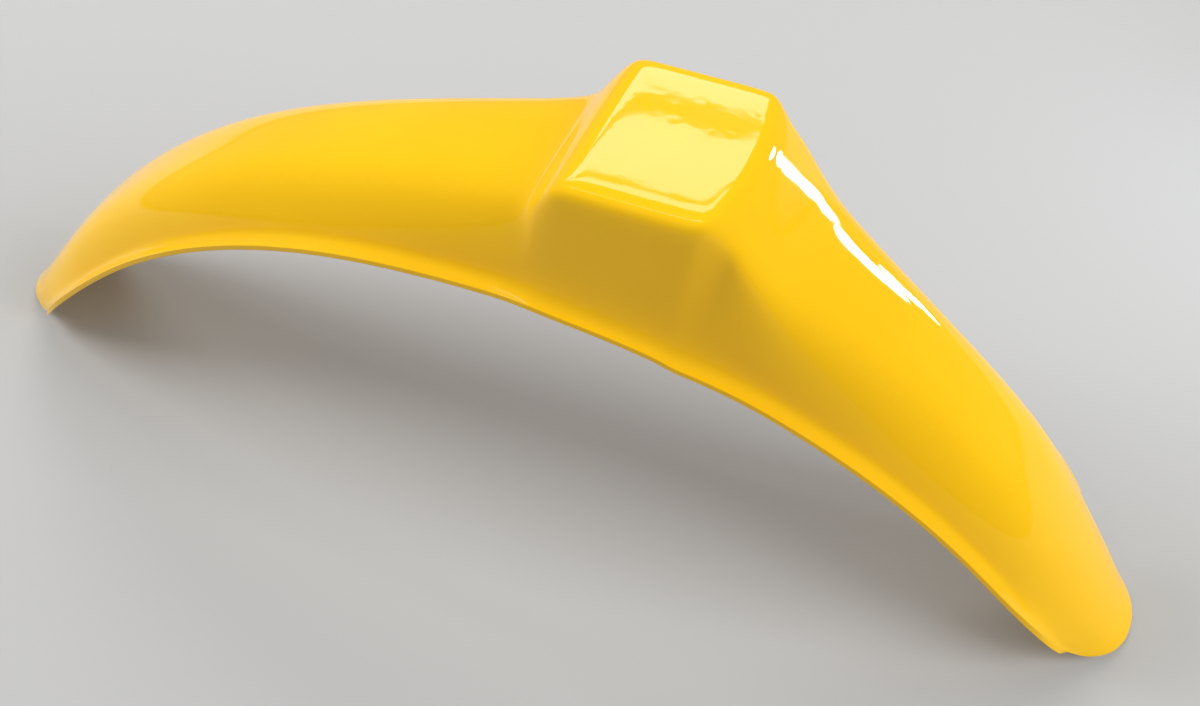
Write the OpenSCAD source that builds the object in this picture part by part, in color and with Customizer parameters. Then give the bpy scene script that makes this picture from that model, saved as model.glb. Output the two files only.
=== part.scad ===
// Front mudguard for a motorcycle, moulded in one piece of glass fibre.
//
// The outer skin is one cubic B-spline surface. Its net is a row of stations
// along the crown line, each with a section from the crown out to the lip.
// The inner skin is the same surface set in by the wall, and the trimmed rim
// joins the two. X runs along the guard, Y across it and Z up. The origin is
// on the floor under the middle of the guard as it stands on its two tips.

/* [Crown line] */
// Length of the crown line from station zero to the left tip
left_reach = 457; // [400:1:500]
// Length of the crown line from station zero to the right tip
right_reach = 361; // [330:1:420]
// Radius of the crown line at station zero
top_radius = 351; // [310:1:480]
// Radius of the crown line at the left tip
left_tip_radius = 407; // [320:1:460]
// Radius of the crown line at the right tip
right_tip_radius = 346; // [300:1:420]

/* [Width] */
// Width over the lips at station zero
mid_width = 124; // [116:1:140]
// Width over the lips that the sides taper to at the left tip
left_width = 87; // [84:1:116]
// Width over the lips that the sides taper to at the right tip
right_width = 99; // [80:1:112]
// How late the sides taper, 1 is straight
taper = 1.1; // [1:0.1:3]
// Length of the rounded end of the left tip
left_round = 61; // [36:1:76]
// Length of the rounded end of the right tip
right_round = 79; // [40:1:86]
// Bluntness of both rounded ends, 2 is an ellipse
bluntness = 2.1; // [2:0.1:3]
// Flatness of the very end of both tips, 2 is a round arc
end_flatness = 4; // [3:0.25:5]

/* [Depth] */
// Depth from the crown to the lip at station zero
mid_depth = 33.5; // [28:0.5:42]
// Depth from the crown to the lip beside the left tip
left_depth = 18; // [12:0.5:24]
// Depth from the crown to the lip beside the right tip
right_depth = 16.5; // [10:0.5:22]
// How late the depth falls off toward the tips, 1 is straight
depth_fade = 1.3; // [1:0.1:2.4]
// Squareness of the crowned section, 2 is a parabola
crown_power = 3.9; // [2.6:0.1:4.4]
// How far the very end of each tip turns out from the crown line
tip_kick = 4; // [0:0.5:6]

/* [Lip] */
// Width of the lip that turns out all round the rim
lip = 8.5; // [5:0.5:11]

/* [Fork brace block] */
// Rise of the block's roof over the highest crown line under it
block_rise = 32; // [20:1:40]
// Station of the roof's left edge
block_left = -14.5; // [-28:0.5:4]
// Station of the roof's right edge
block_right = 65; // [54:1:84]
// Width of the roof across the guard
block_width = 102; // [92:1:107]
// Run of the left slope, from the crown line up to the roof
left_slope = 15.5; // [15:0.5:32]
// Run of the right slope, from the roof down to the crown line
right_slope = 28; // [24:1:60]
// Fall of the roof toward the right, in degrees
roof_fall = 0; // [-6:0.5:6]
// Reach of the rounding on each side of the roof's edges
edge_round = 9; // [7:0.5:11]
// How far the roof's right edge bows out between its corners
right_bow = 10; // [0:0.5:12]
// Reach of the extra rounding of the roof's two right corners
corner_round = 6.5; // [0:0.5:14]
// Reach of the hollow rounding at the foot of the left slope
left_hollow = 14; // [8:0.5:16]
// Reach of the hollow rounding at the foot of the right slope
right_hollow = 24.5; // [10:0.5:28]
// Gentle swell of the crown line at the foot of the left slope
left_swell = 13.5; // [0:0.5:18]
// Gentle swell of the crown line at the foot of the right slope
right_swell = 17; // [0:0.5:20]
// Share of the block's squareness that the section keeps at the left foot
left_squareness = 0.48; // [0:0.02:0.6]
// Share of the block's squareness that the section keeps at the right foot
right_squareness = 0.46; // [0:0.02:0.8]
// Length over which the left foot's squareness dies away
left_square_run = 54; // [40:2:140]
// Length over which the right foot's squareness dies away
right_square_run = 98; // [40:2:140]
// Length over which the left swell dies away
left_swell_run = 118; // [60:2:200]
// Length over which the right swell dies away
right_swell_run = 153; // [61:2:201]

/* [Laminate] */
// Thickness of the gel coat and laminate together
wall = 3; // [2:0.1:4]

/* [Hidden] */
yellow = [1, 0.78, 0.02];

// length of a facet along the crown line, least facets in a span there, and
// facets in each span across
along_facet = 15;
along_least = 3;
across_steps = 2;
// Simpson steps along the crown line
path_steps = 24;
// free spans of the net between a tip's rounded end and the block's foot
arm_spans = 4;
// turn of a tip's outline at its four stations, from the corner to the side
tip_turns = [58, 68, 78, 90];
// place of these stations in the rounded end, from the very end inward
tip_places = [0, 0.16, 0.45, 1];
// part of tip_kick that each of these stations has
tip_kicks = [1, 0.45, 0.08, 0];
// places of the section's points from the crown to the foot of the lip
crown_places = [0, 0.24, 0.48, 0.7, 0.87, 1];
// part of the depth that the section reaches before it turns into the lip
crown_share = 0.88;
// depth of the roof's long edges, and of the middle of the block's walls
wall_top = 0.14;
wall_middle = 0.6;
// the four stations at the block's right end: the place of each from the roof's
// edge, and the parts that it has of right_bow and of corner_round
right_end_stations = [
    [-edge_round, 0.4, 0],
    [0, 1, 0.35],
    [edge_round, 1, 1],
    [right_slope - min(right_hollow, right_slope - edge_round - 2), 0.6, 0.6]];

foot_left = block_left - left_slope;
foot_right = block_right + right_slope;

function mix(a, b, t) = a + (b - a) * t;
function span(a, b, n) = [for (i = [0:n]) mix(a, b, i / n)];

// Crown line: its turn from level at station s, in degrees, its point by
// Simpson's rule, and both when the guard leans by some degrees.
function reach(s) = s < 0 ? left_reach : right_reach;
function turn(s) =
    let (k = 1 / top_radius, tip = 1 / (s < 0 ? left_tip_radius : right_tip_radius))
    180 / PI * (k * s + (tip - k) * s * abs(s) / reach(s) / 2);
simpson = [for (i = [0:path_steps]) i == 0 || i == path_steps ? 1 : i % 2 == 1 ? 4 : 2];
function path(s) =
    s / path_steps / 3 * (simpson * [for (i = [0:path_steps])
        let (a = turn(s * i / path_steps)) [cos(a), -sin(a)]]);
function leaned(s, by) =
    let (p = path(s))
    [cos(by) * p.x + sin(by) * p.y, cos(by) * p.y - sin(by) * p.x, turn(s) + by];
function crown(s) = leaned(s, lean);

// Width and depth of the section at station s, and the tips' rounded outline.
function half_at(s) =
    mix(mid_width, s < 0 ? left_width : right_width, pow(abs(s) / reach(s), taper)) / 2;
function depth_at(s) =
    mix(mid_depth, s < 0 ? left_depth : right_depth, pow(abs(s) / reach(s), depth_fade));
function rounded(s) = s < 0 ? left_round : right_round;
function round_share(angle) = pow(cos(angle), 2 / bluntness);
function round_station(s, angle) = sign(s) * (reach(s) - rounded(s) * (1 - round_share(angle)));

// Stations: [s, place in the tip] with place -1 on the open length. Those at the
// block's right end go on with how far the sides fall back and the roof narrows.
left_open = -left_reach + left_round;
right_open = right_reach - right_round;
left_tip = [for (i = [0:3]) [-left_reach + left_round * tip_places[i], i]];
right_tip = [for (i = [3:-1:0]) [right_reach - right_round * tip_places[i], i]];

// Half section at a station, as [across, depth share] pairs from crown to rim.
function crown_section(foot) = concat(
    [for (p = crown_places) [p * foot * 0.985, crown_share * pow(p, crown_power)]],
    [[foot, 1], [1, 1]]);
function block_section(foot, top) = [
    [0, 0], [0.4 * top, 0], [0.84 * top, 0], [top, 0], [top, wall_top],
    [(top + foot) / 2, wall_middle], [foot, 1], [1, 1]];

function station_points(st, by) =
    let (
        s = st[0], at = st[1], in_tip = at >= 0,
        angle = in_tip ? tip_turns[at] : 90,
        edge_y = half_at(s) * pow(sin(angle), 2 / bluntness),
        edge_s = in_tip ? round_station(s, angle) : s,
        depth = depth_at(s),
        kick = in_tip ? tip_kick * tip_kicks[at] : 0,
        back = len(st) > 2 ? st[2] : 0,
        cut = len(st) > 2 ? st[3] : 0,
        foot = 1 - lip / edge_y,
        open = crown_section(foot),
        block = block_section(foot, (block_width / 2 - cut) / edge_y),
        w = in_tip ? 0 : mix(squareness(s), 1, min(1, 1.3 * blend(s))),
        lift = in_tip ? 0 : rise(s))
    [for (i = [0:len(open) - 1])
        let (
            r = mix(open[i][0], block[i][0], w),
            g = mix(open[i][1], block[i][1], w),
            d = mix(-kick, depth, g),
            out = min(1, r * edge_y / (block_width / 2)),
            c = leaned(mix(s, edge_s, pow(r, end_flatness)), by))
        [c.x - d * sin(c.z) - back * pow(out, 3), r * edge_y, c.y - d * cos(c.z) + lift * (1 - g)]];

function mirrored(row) = concat(
    [for (i = [len(row) - 1:-1:1]) [row[i].x, -row[i].y, row[i].z]], row);
function padded(list) = concat(
    [2 * list[0] - list[1]], list, [2 * list[len(list) - 1] - list[len(list) - 2]]);

// Cubic B-spline weights of the four points round a span, and their slopes.
function weights(t) =
    [pow(1 - t, 3), 3 * pow(t, 3) - 6 * t * t + 4, -3 * pow(t, 3) + 3 * t * t + 3 * t + 1, pow(t, 3)] / 6;
function slopes(t) = [-pow(1 - t, 2), 3 * t * t - 4 * t, -3 * t * t + 2 * t + 1, t * t] / 2;
function four(list, i) = [list[i], list[i + 1], list[i + 2], list[i + 3]];
function blend_rows(net, w, i) =
    w[0] * net[i] + w[1] * net[i + 1] + w[2] * net[i + 2] + w[3] * net[i + 3];
function places(steps) = concat(
    [for (i = [0:len(steps) - 1], k = [0:steps[i] - 1]) [i, k / steps[i]]], [[len(steps) - 1, 1]]);

// Both skins of a net, row by row, as pairs of an outer and an inner point.
function skins_of(net, along, across) = [for (u = along)
    let (
        row = blend_rows(net, weights(u[1]), u[0]),
        row_u = blend_rows(net, slopes(u[1]), u[0]))
    [for (v = across)
        let (
            w = weights(v[1]), q = four(row, v[0]),
            p = w * q,
            n = cross(w * four(row_u, v[0]), slopes(v[1]) * q))
        [p, p - wall / norm(n) * n]]];

across = places([for (i = [2:2 * len(crown_places) + 3]) across_steps]);

// The guard leans until the lowest points of its two tips are level.
function tip_points(tip) =
    let (net = padded([for (st = tip) padded(mirrored(station_points(st, 0)))]))
    [for (row = skins_of(net, places([for (i = [0:2]) along_least]), across), pair = row) each pair];
left_end = tip_points(left_tip);
right_end = tip_points(right_tip);
function height(p, by) = cos(by) * p.z - sin(by) * p.x;
function lowest(list, by) =
    let (low = min([for (p = list) height(p, by)]))
    [for (p = list) if (height(p, by) == low) p][0];
function settled(by, tries) =
    let (a = lowest(left_end, by), b = lowest(right_end, by))
    tries == 0 ? by : settled(atan2(b.z - a.z, b.x - a.x), tries - 1);
lean = settled(0, 5);

// Roof of the block: a plane over the crown line.
roof_a = crown(block_left);
roof_b = crown(block_right);
roof_z = max(roof_a.y, roof_b.y) + block_rise;
function roof(x) = roof_z - tan(roof_fall) * (x - (roof_a.x + roof_b.x) / 2);
function swell(away, high, run) = high * pow(max(0, 1 - away / run), 2);
function rise(s) =
    s <= foot_left ? swell(foot_left - s, left_swell, left_swell_run)
    : s >= foot_right ? swell(s - foot_right, right_swell, right_swell_run)
    : s < block_left ? mix(left_swell, roof(roof_a.x) - roof_a.y, blend(s))
    : s > block_right ? mix(right_swell, roof(roof_b.x) - roof_b.y, blend(s))
    : roof(crown(s).x) - crown(s).y;
function squareness(s) =
    let (left = s < block_left, away = left ? foot_left - s : s - foot_right)
    (left ? left_squareness : right_squareness)
        * pow(max(0, min(1, 1 - away / (left ? left_square_run : right_square_run))), 2);
function blend(s) =
    s < block_left ? max(0, (s - foot_left) / left_slope)
    : s > block_right ? max(0, (foot_right - s) / right_slope) : 1;

stations = concat(
    left_tip,
    [for (s = span(left_open, foot_left - left_hollow, arm_spans)) if (s > left_open) [s, -1]],
    [for (s = [foot_left, foot_left + min(left_hollow, left_slope - edge_round - 2),
        block_left - edge_round, block_left, block_left + edge_round,
        (block_left + block_right) / 2]) [s, -1]],
    [for (e = right_end_stations)
        [block_right + e[0], -1, e[1] * right_bow, e[2] * corner_round]],
    [[foot_right, -1]],
    [for (s = span(foot_right + right_hollow, right_open, arm_spans)) if (s < right_open) [s, -1]],
    right_tip);

net = padded([for (st = stations) padded(mirrored(station_points(st, lean)))]);
along = places([for (i = [0:len(stations) - 2])
    max(along_least, round(abs(stations[i + 1][0] - stations[i][0]) / along_facet))]);
skins = skins_of(net, along, across);

nu = len(along);
nv = len(across);
outer = [for (row = skins, pair = row) pair[0]];
inner = [for (row = skins, pair = row) pair[1]];
all_points = concat(outer, inner);
xs = [for (p = all_points) p.x];
zs = [for (p = all_points) p.z];
home = [(min(xs) + max(xs)) / 2, 0, min(zs)];
points = [for (p = all_points) p - home];

function at(i, j) = i * nv + j;
function quad(a, b, c, d, flip) = flip ? [[a, b, d], [b, c, d]] : [[a, b, c], [a, c, d]];
skin = [for (i = [0:nu - 2], j = [0:nv - 2])
    each quad(at(i, j), at(i, j + 1), at(i + 1, j + 1), at(i + 1, j), j < (nv - 1) / 2)];
rim = concat(
    [for (j = [0:nv - 1]) at(0, j)],
    [for (i = [1:nu - 1]) at(i, nv - 1)],
    [for (j = [nv - 2:-1:0]) at(nu - 1, j)],
    [for (i = [nu - 2:-1:1]) at(i, 0)]);
edge = [for (k = [0:len(rim) - 1])
    let (a = rim[k], b = rim[(k + 1) % len(rim)], m = nu * nv)
    each quad(a, a + m, b + m, b, false)];

module mudguard() {
    color(yellow)
        polyhedron(
            points = points,
            faces = concat(
                skin,
                [for (f = skin) [for (i = [2:-1:0]) f[i] + nu * nv]],
                edge),
            convexity = 6);
}

mudguard();
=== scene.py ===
"""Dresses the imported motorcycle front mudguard: tips, rim, gel coat, laminate and studio."""

import logging
import math
from dataclasses import dataclass, field
from enum import Enum
from typing import Any, Callable, Iterable

import bmesh
import bpy
from bmesh.types import BMesh, BMFace, BMVert
from mathutils import Matrix, Vector


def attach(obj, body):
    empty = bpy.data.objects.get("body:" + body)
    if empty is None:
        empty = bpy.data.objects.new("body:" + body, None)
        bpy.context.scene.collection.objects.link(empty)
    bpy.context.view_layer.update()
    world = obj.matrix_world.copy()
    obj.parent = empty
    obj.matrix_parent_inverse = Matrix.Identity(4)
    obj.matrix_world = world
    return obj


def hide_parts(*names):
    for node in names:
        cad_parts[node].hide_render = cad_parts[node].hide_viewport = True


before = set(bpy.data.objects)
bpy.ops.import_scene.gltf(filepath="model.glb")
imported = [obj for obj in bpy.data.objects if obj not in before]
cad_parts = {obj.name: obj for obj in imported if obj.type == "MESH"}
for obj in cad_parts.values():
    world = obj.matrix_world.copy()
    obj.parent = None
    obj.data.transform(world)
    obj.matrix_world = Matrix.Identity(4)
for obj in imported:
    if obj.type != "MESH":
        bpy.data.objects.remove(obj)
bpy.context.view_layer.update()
LOG = logging.getLogger("mudguard")
MM = 0.001

Colour = tuple[float, float, float, float]

# Numbers of the Mix node's colour sockets: the two that go in and the one that comes out
MIX_FIRST, MIX_SECOND, MIX_RESULT = 6, 7, 2


# Shader sums


class Sum:
    """A socket of a node tree that can be used in ordinary sums."""

    def __init__(self, tree: "Tree", socket: bpy.types.NodeSocket) -> None:
        """Keeps the tree and the socket."""
        self.tree = tree
        self.socket = socket

    def _math(self, operation: str, first: "Sum | float", second: "Sum | float") -> "Sum":
        """Adds one Math node and returns its result."""
        return self.tree.node("ShaderNodeMath", {"operation": operation}, {0: first, 1: second})

    def __add__(self, other: "Sum | float") -> "Sum":
        """Returns self + other."""
        return self._math("ADD", self, other)

    def __radd__(self, other: "Sum | float") -> "Sum":
        """Returns other + self."""
        return self._math("ADD", other, self)

    def __mul__(self, other: "Sum | float") -> "Sum":
        """Returns self * other."""
        return self._math("MULTIPLY", self, other)

    def __rmul__(self, other: "Sum | float") -> "Sum":
        """Returns other * self."""
        return self._math("MULTIPLY", other, self)

    def __pow__(self, other: "Sum | float") -> "Sum":
        """Returns self to the power other."""
        return self._math("POWER", self, other)

    def at_least(self, other: "Sum | float") -> "Sum":
        """Returns the larger of self and other."""
        return self._math("MAXIMUM", self, other)


class Tree:
    """Builds one material's nodes."""

    def __init__(self, name: str) -> None:
        """Starts an empty material.

        Args:
            name: The material's name.
        """
        self.material = bpy.data.materials.new(name)
        self.material.use_nodes = True
        self.nodes = self.material.node_tree.nodes
        self.links = self.material.node_tree.links
        self.nodes.clear()

    def node(
        self,
        kind: str,
        settings: dict[str, Any] | None = None,
        inputs: dict[str | int, Any] | None = None,
        out: str | int = 0,
    ) -> Sum:
        """Adds a node of any kind.

        Args:
            kind: The node's type name.
            settings: Its properties, and a ramp's stops, set before its sockets are filled.
            inputs: Values or links by socket name or number.
            out: The name or number of the output that is wanted.

        Returns:
            The wanted output.
        """
        made = self.nodes.new(kind)
        for key, value in (settings or {}).items():
            if key == "stops":
                ramp = made.color_ramp
                while len(ramp.elements) > 1:
                    ramp.elements.remove(ramp.elements[0])
                for number, (place, colour) in enumerate(value):
                    stop = ramp.elements[0] if number == 0 else ramp.elements.new(place)
                    stop.position, stop.color = place, colour
            else:
                setattr(made, key, value)
        for key, value in (inputs or {}).items():
            if isinstance(value, Sum):
                self.links.new(value.socket, made.inputs[key])
            else:
                made.inputs[key].default_value = value
        return Sum(self, made.outputs[out])

    def place(self) -> Sum:
        """Returns the Object coordinates, in metres."""
        return self.node("ShaderNodeTexCoord", out="Object")

    def stretched(self, scale: Iterable[float], turn: Iterable[float] = (0, 0, 0)) -> Sum:
        """Returns the Object coordinates turned and stretched.

        Args:
            scale: How far a pattern is stretched along each axis.
            turn: Its turn about each axis, in radians.

        Returns:
            The vector for a pattern.
        """
        return self.node(
            "ShaderNodeMapping",
            {"vector_type": "TEXTURE"},
            {"Vector": self.place(), "Rotation": tuple(turn), "Scale": tuple(scale)},
        )

    def noise(
        self, scale: float, detail: float = 2.0, rough: float = 0.5, at: Sum | None = None
    ) -> Sum:
        """Adds a noise.

        Args:
            scale: How many times a metre it repeats.
            detail: How many finer layers it has.
            rough: How strong each finer layer is.
            at: Its coordinates, or None for the Object coordinates.

        Returns:
            The noise, from 0 to 1.
        """
        return self.node(
            "ShaderNodeTexNoise",
            {"noise_dimensions": "3D"},
            {
                "Vector": at or self.place(),
                "Scale": scale,
                "Detail": detail,
                "Roughness": rough,
            },
        )

    def ramp(self, value: Sum, stops: list[tuple[float, Colour]]) -> Sum:
        """Returns a colour ramp of the value."""
        return self.node("ShaderNodeValToRGB", {"stops": stops}, {"Fac": value})

    def mixed(self, share: Sum | float, first: Sum | Colour, second: Sum | Colour) -> Sum:
        """Mixes two colours.

        Args:
            share: How much of the second colour is shown.
            first: The colour at share 0.
            second: The colour at share 1.

        Returns:
            The mixed colour.
        """
        return self.node(
            "ShaderNodeMix",
            {"data_type": "RGBA"},
            {"Factor": share, MIX_FIRST: first, MIX_SECOND: second},
            out=MIX_RESULT,
        )

    def bump(self, height: Sum, depth: float, under: Sum | None = None) -> Sum:
        """Adds a bump.

        Args:
            height: The relief, from 0 to 1.
            depth: How high 1 stands, in metres.
            under: The normal below it, if any.

        Returns:
            The new normal.
        """
        inputs: dict[str | int, Any] = {"Strength": 1.0, "Distance": depth, "Height": height}
        if under is not None:
            inputs["Normal"] = under
        return self.node("ShaderNodeBump", {}, inputs)

    def finish(self, shader: Sum) -> bpy.types.Material:
        """Links the shader to the material's output.

        Args:
            shader: The finished shader.

        Returns:
            The material.
        """
        output = self.nodes.new("ShaderNodeOutputMaterial")
        self.links.new(shader.socket, output.inputs["Surface"])
        return self.material


# Finishes


@dataclass(frozen=True)
class GelCoat:
    """Glossy gel coat as it leaves a polished mould, with slight waves on the block's roof.

    Scales are repeats in a metre. Depths and the roof's heights are in metres.
    """

    name: str = "yellow_gel_coat"
    colour: Colour = (0.99, 0.56, 0.003, 1.0)
    thin: Colour = (1.0, 0.585, 0.004, 1.0)
    deep: Colour = (0.97, 0.54, 0.002, 1.0)
    cloud_scale: float = 9.0
    cloud_detail: float = 3.0
    cloud_steps: tuple[float, float, float] = (0.30, 0.52, 0.75)
    roughness: float = 0.035
    polish_least: float = 0.6
    swirl_share: float = 1.1
    swirl_scale: float = 70.0
    swirl_detail: float = 4.0
    swirl_rough: float = 0.6
    swirl_stretch: tuple[float, float, float] = (3.0, 1.0, 1.0)
    peel_scale: float = 260.0
    peel_detail: float = 1.5
    peel_depth: float = 0.0000022
    wave_scale: float = 32.0
    wave_detail: float = 1.0
    wave_depth: float = 0.00006
    ripple_scale: float = 150.0
    ripple_depth: float = 0.000026
    roof_from: float = 222 * MM
    roof_full: float = 234 * MM
    refraction: float = 1.37

    def build(self) -> bpy.types.Material:
        """Builds the finish.

        Returns:
            The material.
        """
        tree = Tree(self.name)
        cloud = tree.noise(self.cloud_scale, self.cloud_detail)
        colours = (self.deep, self.colour, self.thin)
        base = tree.ramp(cloud, list(zip(self.cloud_steps, colours)))
        along = tree.stretched(self.swirl_stretch)
        swirl = tree.noise(self.swirl_scale, self.swirl_detail, self.swirl_rough, along)
        polish = self.roughness * (self.polish_least + self.swirl_share * swirl)
        height = tree.node("ShaderNodeSeparateXYZ", {}, {"Vector": tree.place()}, out="Z")
        roof = tree.node(
            "ShaderNodeMapRange",
            {"interpolation_type": "SMOOTHSTEP"},
            {"Value": height, "From Min": self.roof_from, "From Max": self.roof_full},
        )
        wave = tree.bump(tree.noise(self.wave_scale, self.wave_detail) * roof, self.wave_depth)
        ripple = tree.bump(
            tree.noise(self.ripple_scale, self.wave_detail) * roof, self.ripple_depth, wave
        )
        peel = tree.bump(tree.noise(self.peel_scale, self.peel_detail), self.peel_depth, ripple)
        shader = tree.node(
            "ShaderNodeBsdfPrincipled",
            {},
            {"Base Color": base, "Roughness": polish, "IOR": self.refraction, "Normal": peel},
        )
        return tree.finish(shader)


@dataclass(frozen=True)
class Laminate:
    """The back of the moulding: chopped glass strands under resin.

    Scales are repeats in a metre, and depths are in metres. The strands lie in as many
    layers as lay has turns, which are in radians.
    """

    name: str = "glass_laminate"
    resin: Colour = (0.62, 0.34, 0.02, 1.0)
    strand: Colour = (0.86, 0.60, 0.13, 1.0)
    roughness: float = 0.42
    refraction: float = 1.5
    strand_scale: float = 270.0
    strand_detail: float = 2.0
    strand_rough: float = 0.6
    strand_shape: tuple[float, float, float] = (9.0, 0.8, 1.0)
    strand_thinness: float = 3.0
    strand_seen: tuple[float, float] = (0.12, 0.45)
    strand_depth: float = 0.00025
    lay: tuple[float, ...] = (0.0, 0.9, 1.9, 2.6)
    lay_tilt: float = 0.35
    lay_lean: float = 0.2
    pool_scale: float = 32.0
    pool_detail: float = 3.0
    pool_depth: float = 0.0004
    pool_cover: tuple[float, float] = (0.35, 0.6)
    pool_gloss: tuple[float, float] = (0.75, 0.6)

    def build(self) -> bpy.types.Material:
        """Builds the finish.

        Returns:
            The material.
        """
        tree = Tree(self.name)
        strands: Sum | None = None
        for number, turn in enumerate(self.lay):
            at = tree.stretched(self.strand_shape, (self.lay_tilt * number, self.lay_lean, turn))
            noise = tree.noise(self.strand_scale, self.strand_detail, self.strand_rough, at)
            streak = noise**self.strand_thinness
            strands = streak if strands is None else strands.at_least(streak)
        shown = tree.node(
            "ShaderNodeMapRange",
            {},
            {"Value": strands, "From Min": self.strand_seen[0], "From Max": self.strand_seen[1]},
        )
        pool = tree.noise(self.pool_scale, self.pool_detail)
        cover = self.pool_cover[0] + self.pool_cover[1] * pool
        base = tree.mixed(shown * cover, self.resin, self.strand)
        height = tree.bump(pool, self.pool_depth)
        fibre = tree.bump(shown, self.strand_depth, height)
        shader = tree.node(
            "ShaderNodeBsdfPrincipled",
            {},
            {
                "Base Color": base,
                "Roughness": self.roughness * (self.pool_gloss[0] + self.pool_gloss[1] * pool),
                "IOR": self.refraction,
                "Normal": fibre,
            },
        )
        return tree.finish(shader)


@dataclass(frozen=True)
class Paper:
    """The pale studio floor."""

    name: str = "studio_floor"
    colour: Colour = (0.50, 0.50, 0.495, 1.0)
    roughness: float = 0.75
    shine: float = 0.2

    def build(self) -> bpy.types.Material:
        """Builds the finish.

        Returns:
            The material.
        """
        tree = Tree(self.name)
        shader = tree.node(
            "ShaderNodeBsdfPrincipled",
            {},
            {
                "Base Color": self.colour,
                "Roughness": self.roughness,
                "Specular IOR Level": self.shine,
            },
        )
        return tree.finish(shader)


# Hand tools


def only(piece: bpy.types.Object) -> None:
    """Selects one object and nothing else, and makes it active.

    Args:
        piece: The object that the next operators act on.
    """
    bpy.ops.object.select_all(action="DESELECT")
    piece.select_set(True)
    bpy.context.view_layer.objects.active = piece


def pick_faces(piece: bpy.types.Object, wanted: Callable[[Vector, Vector], bool]) -> int:
    """Selects faces by their middle and normal, in edit mode.

    Args:
        piece: The object whose faces are picked.
        wanted: Says for a middle and a normal whether the face is picked.

    Returns:
        How many faces are selected.
    """
    bpy.ops.object.mode_set(mode="EDIT")
    bpy.ops.mesh.select_mode(type="FACE")
    bpy.ops.mesh.select_all(action="DESELECT")
    bpy.ops.object.mode_set(mode="OBJECT")
    count = 0
    for face in piece.data.polygons:
        face.select = wanted(face.center, face.normal)
        count += face.select
    bpy.ops.object.mode_set(mode="EDIT")
    return count


# Piece


def smooth_step(value: float, low: float, high: float) -> float:
    """Returns a share that rises smoothly from 0 at low to 1 at high."""
    share = min(1.0, max(0.0, (value - low) / (high - low)))
    return share * share * (3.0 - 2.0 * share)


class Side(Enum):
    """The two sides of the moulding, each with its own finish."""

    SHOW = 0
    BACK = 1


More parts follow.
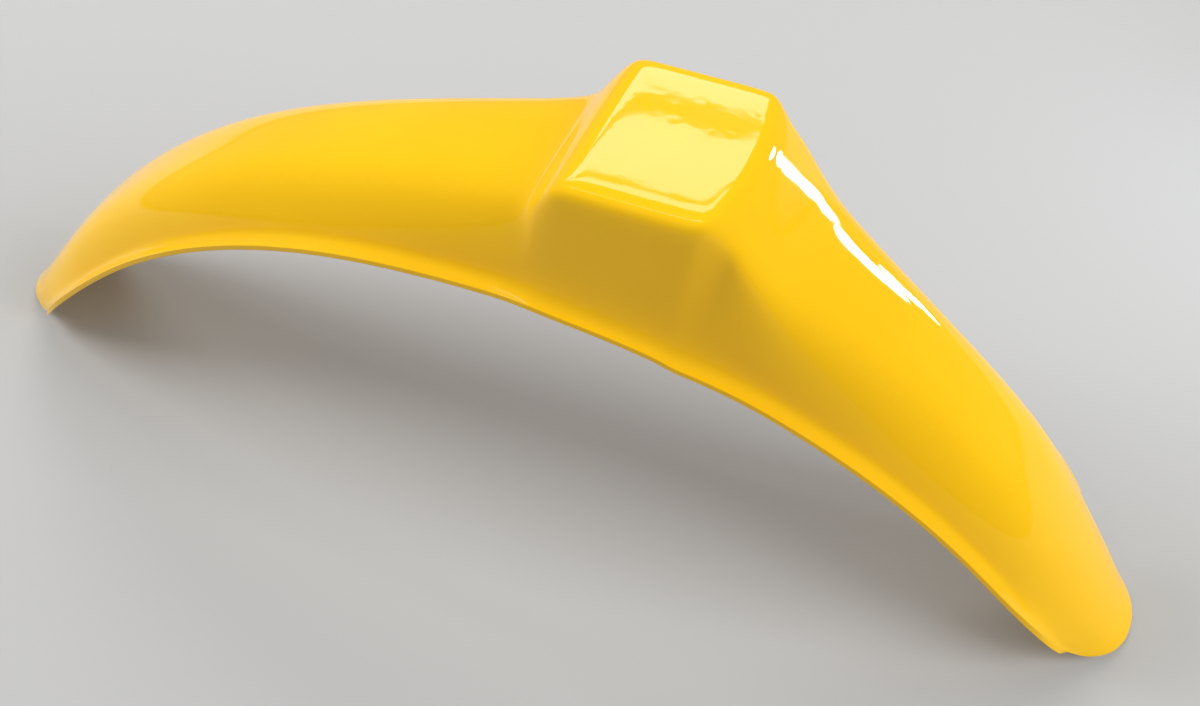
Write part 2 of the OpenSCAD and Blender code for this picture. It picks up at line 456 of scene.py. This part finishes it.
@dataclass
class Mudguard:
    """The one-piece moulding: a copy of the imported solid, welded, rounded and smoothed.

    A tip's points are those further out than tip_zone. From tip_run before the tip's end
    they start to move toward their neighbours, tip_step of the way in each of tip_passes
    passes, and from tip_full before the end they do so in full. The lip at the end is
    tip_lip wide and tip_dish deep. The two hubs lie under the arch: tip_hub tells the way
    out of the skin at a tip, and hub tells which faces are the back.
    """

    name: str = "mudguard_shell"
    node: str = "mudguard"
    weld: float = 0.02 * MM
    tip_hub: Vector = field(default_factory=lambda: Vector((0.01, 0.0, -0.22)))
    tip_zone: float = 220 * MM
    tip_run: float = 75 * MM
    tip_full: float = 26 * MM
    tip_passes: int = 14
    tip_step: float = 0.5
    tip_lip: float = 13 * MM
    tip_dish: float = 1.4 * MM
    rim_round: float = 0.9 * MM
    rim_segments: int = 2
    rim_sharpness: float = math.radians(55)
    smooth_levels: int = 1
    shade_angle: float = math.radians(45)
    hub: Vector = field(default_factory=lambda: Vector((0.02, 0.0, -0.06)))
    show: GelCoat = field(default_factory=GelCoat)
    back: Laminate = field(default_factory=Laminate)

    def copied(self) -> bpy.types.Object:
        """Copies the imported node's mesh, welds it and joins its triangles to quads.

        Returns:
            The new object.
        """
        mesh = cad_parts[self.node].data.copy()
        mesh.materials.clear()
        piece = bpy.data.objects.new(self.name, mesh)
        mesh.name = self.name
        bpy.context.scene.collection.objects.link(piece)
        only(piece)
        bpy.ops.object.mode_set(mode="EDIT")
        bpy.ops.mesh.select_all(action="SELECT")
        bpy.ops.mesh.remove_doubles(threshold=self.weld)
        bpy.ops.mesh.tris_convert_to_quads(face_threshold=math.pi, shape_threshold=math.pi)
        bpy.ops.object.mode_set(mode="OBJECT")
        return piece

    def show_faces(self, shell: BMesh) -> set[BMFace]:
        """Finds the show side, from its top face out to where the rim turns sharply.

        Args:
            shell: The whole moulding.

        Returns:
            The faces of the show side.
        """
        reached = {max(shell.faces, key=lambda face: face.calc_center_median().z)}
        waiting = list(reached)
        while waiting:
            face = waiting.pop()
            for edge in face.edges:
                if edge.calc_face_angle(0.0) < self.rim_sharpness:
                    fresh = [other for other in edge.link_faces if other not in reached]
                    reached.update(fresh)
                    waiting.extend(fresh)
        return reached

    def outward(self, at: Vector) -> Vector:
        """Returns the way out of the skin near a tip, about square to the crown line."""
        return Vector((at.x - self.tip_hub.x, 0.0, at.z - self.tip_hub.z)).normalized()

    def even_out(self, outer: list[BMVert], rim: set[BMVert], share: dict[BMVert, float]) -> None:
        """Moves each point toward the middle of its neighbours, a rim point along the rim.

        Args:
            outer: The points of the show side that may move.
            rim: Those of them that lie on the rim.
            share: How much of each step each point takes.
        """
        for _ in range(self.tip_passes):
            fresh = {}
            for point in outer:
                near = [edge.other_vert(point) for edge in point.link_edges]
                near = [other for other in near if other in share]
                if point in rim:
                    near = [other for other in near if other in rim] or [point]
                middle = sum((other.co for other in near), Vector()) / len(near)
                fresh[point] = point.co.lerp(middle, self.tip_step * share[point])
            for point, place in fresh.items():
                point.co = place

    def round_tip(self, shell: BMesh, skin: set[BMFace], end: float) -> None:
        """Evens out one tip's corners, and dishes the skin behind its end, which leaves a lip.

        Args:
            shell: The whole moulding.
            skin: The faces of its show side.
            end: -1 for the left tip, 1 for the right tip.
        """
        zone = [point for point in shell.verts if point.co.x * end > self.tip_zone]
        outer = [point for point in zone if any(face in skin for face in point.link_faces)]
        rim = {point for point in outer if any(face not in skin for face in point.link_faces)}
        inner = [point for point in zone if not any(face in skin for face in point.link_faces)]
        tip = max(point.co.x * end for point in outer)
        low, high = tip - self.tip_run, tip - self.tip_full
        share = {point: smooth_step(point.co.x * end, low, high) for point in outer}
        start = {point: point.co.copy() for point in outer}
        away = {point: min((point.co - near.co).length for near in rim) for point in outer}
        self.even_out(outer, rim, share)
        for point in outer:
            dish = smooth_step(away[point], 0.0, self.tip_lip) * share[point] * self.tip_dish
            point.co -= self.outward(start[point]) * dish
        for point in inner:
            joined = [edge.other_vert(point) for edge in point.link_edges]
            joined = [other for other in joined if other in rim]
            pair = min(joined or outer, key=lambda other: (start[other] - point.co).length)
            point.co += pair.co - start[pair]

    def round_tips(self, piece: bpy.types.Object) -> None:
        """Gives both tips their even corners and their lips.

        Args:
            piece: The welded copy, with its rim still square.
        """
        shell = bmesh.new()
        shell.from_mesh(piece.data)
        skin = self.show_faces(shell)
        for end in (-1.0, 1.0):
            self.round_tip(shell, skin, end)
        shell.to_mesh(piece.data)
        shell.free()

    def round_rim(self, piece: bpy.types.Object) -> None:
        """Rounds both edges of the trimmed rim.

        Args:
            piece: The moulding, with its rim still square.
        """
        bpy.ops.object.mode_set(mode="EDIT")
        bpy.ops.mesh.select_mode(type="EDGE")
        bpy.ops.mesh.select_all(action="DESELECT")
        bpy.ops.mesh.edges_select_sharp(sharpness=self.rim_sharpness)
        bpy.ops.object.mode_set(mode="OBJECT")
        LOG.info("rim edges: %d", sum(edge.select for edge in piece.data.edges))
        bpy.ops.object.mode_set(mode="EDIT")
        bpy.ops.mesh.bevel(
            offset=self.rim_round, segments=self.rim_segments, affect="EDGES", clamp_overlap=True
        )
        bpy.ops.object.mode_set(mode="OBJECT")

    def smooth(self, piece: bpy.types.Object) -> None:
        """Turns the facets into one smooth surface.

        Args:
            piece: The moulding, with its rim rounded.
        """
        bend = piece.modifiers.new("smooth_surface", "SUBSURF")
        bend.levels = bend.render_levels = self.smooth_levels
        only(piece)
        bpy.ops.object.modifier_apply(modifier=bend.name)
        bpy.ops.object.shade_smooth_by_angle(angle=self.shade_angle)

    def dress(self, piece: bpy.types.Object) -> None:
        """Puts gel coat on the show side and the rim, and laminate on the back.

        Args:
            piece: The moulding in its final shape.
        """
        piece.data.materials.append(self.show.build())
        piece.data.materials.append(self.back.build())
        count = pick_faces(piece, lambda at, normal: normal.dot(at - self.hub) < 0)
        LOG.info("back faces: %d", count)
        piece.active_material_index = Side.BACK.value
        bpy.ops.object.material_slot_assign()
        bpy.ops.mesh.select_all(action="DESELECT")
        bpy.ops.object.mode_set(mode="OBJECT")

    def build(self) -> bpy.types.Object:
        """Builds, dresses and places the piece.

        Returns:
            The finished object.
        """
        piece = self.copied()
        self.round_tips(piece)
        self.round_rim(piece)
        self.smooth(piece)
        self.dress(piece)
        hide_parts(self.node)
        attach(piece, "root")
        return piece


# Stage


# The cool colour of the lamps that make the long highlight
DAYLIGHT = (0.86, 0.93, 1.0)

# The middle of the guard, which the lamps that light it all over face
GUARD = (0.0, 0.0, 0.1)


@dataclass(frozen=True)
class SoftBox:
    """One soft light, rectangular or oval, that faces a point and that the camera can't see.

    Places and sizes are in metres, and brightness is in times white paper. A light that
    isn't reflected shines on the guard but doesn't show in its gloss.
    """

    name: str
    at: tuple[float, float, float]
    aim: tuple[float, float, float]
    size: tuple[float, float]
    brightness: float
    colour: tuple[float, float, float] = (1.0, 1.0, 1.0)
    reflected: bool = True
    oval: bool = False

    def build(self) -> bpy.types.Object:
        """Adds the light, as bright as so many times white paper.

        Returns:
            The light.
        """
        bpy.ops.object.light_add(type="AREA", location=self.at)
        lamp = bpy.context.object
        lamp.name = self.name
        lamp.data.shape = "ELLIPSE" if self.oval else "RECTANGLE"
        lamp.data.size, lamp.data.size_y = self.size
        area = self.size[0] * self.size[1] * (math.pi / 4 if self.oval else 1.0)
        lamp.data.energy = self.brightness * math.pi * area
        lamp.data.color = self.colour
        lamp.visible_glossy = self.reflected
        lamp.visible_camera = False
        away = Vector(self.at) - Vector(self.aim)
        lamp.rotation_euler = away.to_track_quat("Z", "Y").to_euler()
        return lamp


@dataclass
class Camera:
    """The camera at the photo's viewing angle, in the guard's own frame.

    The focal length is in pixels of the photo's width, the angles are in degrees, the
    sensor is in millimetres, and the distance, target and clip are in metres.
    """

    focal_px: float = 1584.5
    azimuth: float = 22.25
    elevation: float = 48.17
    distance: float = 0.8168
    roll: float = 0.24
    target: tuple[float, float, float] = (0.0380, 0.0, 0.08362)
    image_width: int = 1200
    sensor: float = 36.0
    clip: tuple[float, float] = (0.01, 50.0)

    def build(self) -> bpy.types.Object:
        """Adds the camera and makes it the scene's own.

        Returns:
            The camera.
        """
        turn, rise = math.radians(self.azimuth), math.radians(self.elevation)
        back = Vector(
            (math.sin(turn) * math.cos(rise), -math.cos(turn) * math.cos(rise), math.sin(rise))
        )
        right = Vector((math.cos(turn), math.sin(turn), 0.0))
        up = back.cross(right)
        roll = math.radians(self.roll)
        level, plumb = right.copy(), up.copy()
        right = level * math.cos(roll) + plumb * math.sin(roll)
        up = plumb * math.cos(roll) - level * math.sin(roll)
        bpy.ops.object.camera_add()
        camera = bpy.context.object
        camera.name = "photo_camera"
        pose = Matrix((right, up, back)).transposed().to_4x4()
        pose.translation = Vector(self.target) + back * self.distance
        camera.matrix_world = pose
        camera.data.sensor_width = self.sensor
        camera.data.lens = self.focal_px / self.image_width * self.sensor
        camera.data.clip_start, camera.data.clip_end = self.clip
        bpy.context.scene.camera = camera
        return camera


@dataclass
class Studio:
    """Floor, world light and soft boxes.

    The first four boxes light the guard all over and don't show in its gloss. The others
    do, and the three oval ones make the long highlight on the right slope.
    """

    floor_size: float = 12.0
    world: Colour = (1.0, 1.0, 1.0, 1.0)
    world_strength: float = 0.30
    paper: Paper = field(default_factory=Paper)
    boxes: tuple[SoftBox, ...] = (
        SoftBox("ceiling", (0.0, 0.0, 2.8), GUARD, (2.5, 2.5), 0.25, reflected=False),
        SoftBox("side_left", (-2.4, -0.25, 1.7), GUARD, (1.6, 1.6), 7.0, reflected=False),
        SoftBox("side_right", (2.4, -0.25, 1.7), GUARD, (1.6, 1.6), 6.4, reflected=False),
        SoftBox("rear", (0.0, 2.2, 2.2), GUARD, (1.6, 1.6), 0.8, reflected=False),
        SoftBox("window_near", (-0.65, 1.355, 1.5), (-0.65, 1.355, 0.0), (1.3, 0.17), 5.6),
        SoftBox("window_sill", (-0.45, 1.165, 1.5), (-0.45, 1.165, 0.0), (0.9, 0.12), 5.2),
        SoftBox("window_far", (-0.45, 1.76, 1.5), (-0.45, 1.76, 0.0), (0.9, 0.50), 5.6),
        SoftBox("lamp_row_high", (-0.30, 0.45, 1.5), (-0.30, 0.45, 0.0), (0.7, 0.05), 8.0),
        SoftBox(
            "door_top",
            at=(1.221, 1.469, 0.570),
            aim=(0.155, 0.018, 0.187),
            size=(0.14, 0.30),
            brightness=26.0,
            colour=DAYLIGHT,
            oval=True,
        ),
        SoftBox(
            "door_gap",
            at=(0.437, 0.425, 0.2175),
            aim=(0.141, 0.022, 0.200),
            size=(0.046, 0.078),
            brightness=18.0,
            colour=DAYLIGHT,
            oval=True,
        ),
        SoftBox(
            "door_foot",
            at=(0.430, 0.416, 0.170),
            aim=(0.128, 0.020, 0.216),
            size=(0.044, 0.054),
            brightness=14.0,
            colour=DAYLIGHT,
            oval=True,
        ),
    )

    def build(self) -> None:
        """Builds the stage."""
        bpy.ops.mesh.primitive_plane_add(size=self.floor_size, location=(0, 0, 0))
        floor = bpy.context.object
        floor.name = "floor"
        floor.data.materials.append(self.paper.build())
        for box in self.boxes:
            box.build()
        world = bpy.data.worlds.new("studio")
        bpy.context.scene.world = world
        world.use_nodes = True
        sky = world.node_tree.nodes["Background"]
        sky.inputs["Color"].default_value = self.world
        sky.inputs["Strength"].default_value = self.world_strength
        bpy.context.scene.view_settings.view_transform = "Standard"


def main() -> None:
    """Builds every piece in order and reports it."""
    logging.basicConfig(level=logging.INFO, format="%(name)s: %(message)s")
    bpy.ops.object.select_all(action="DESELECT")
    Camera().build()
    piece = Mudguard().build()
    LOG.info("%s: %d faces", piece.name, len(piece.data.polygons))
    Studio().build()


if __name__ == "__main__":
    main()
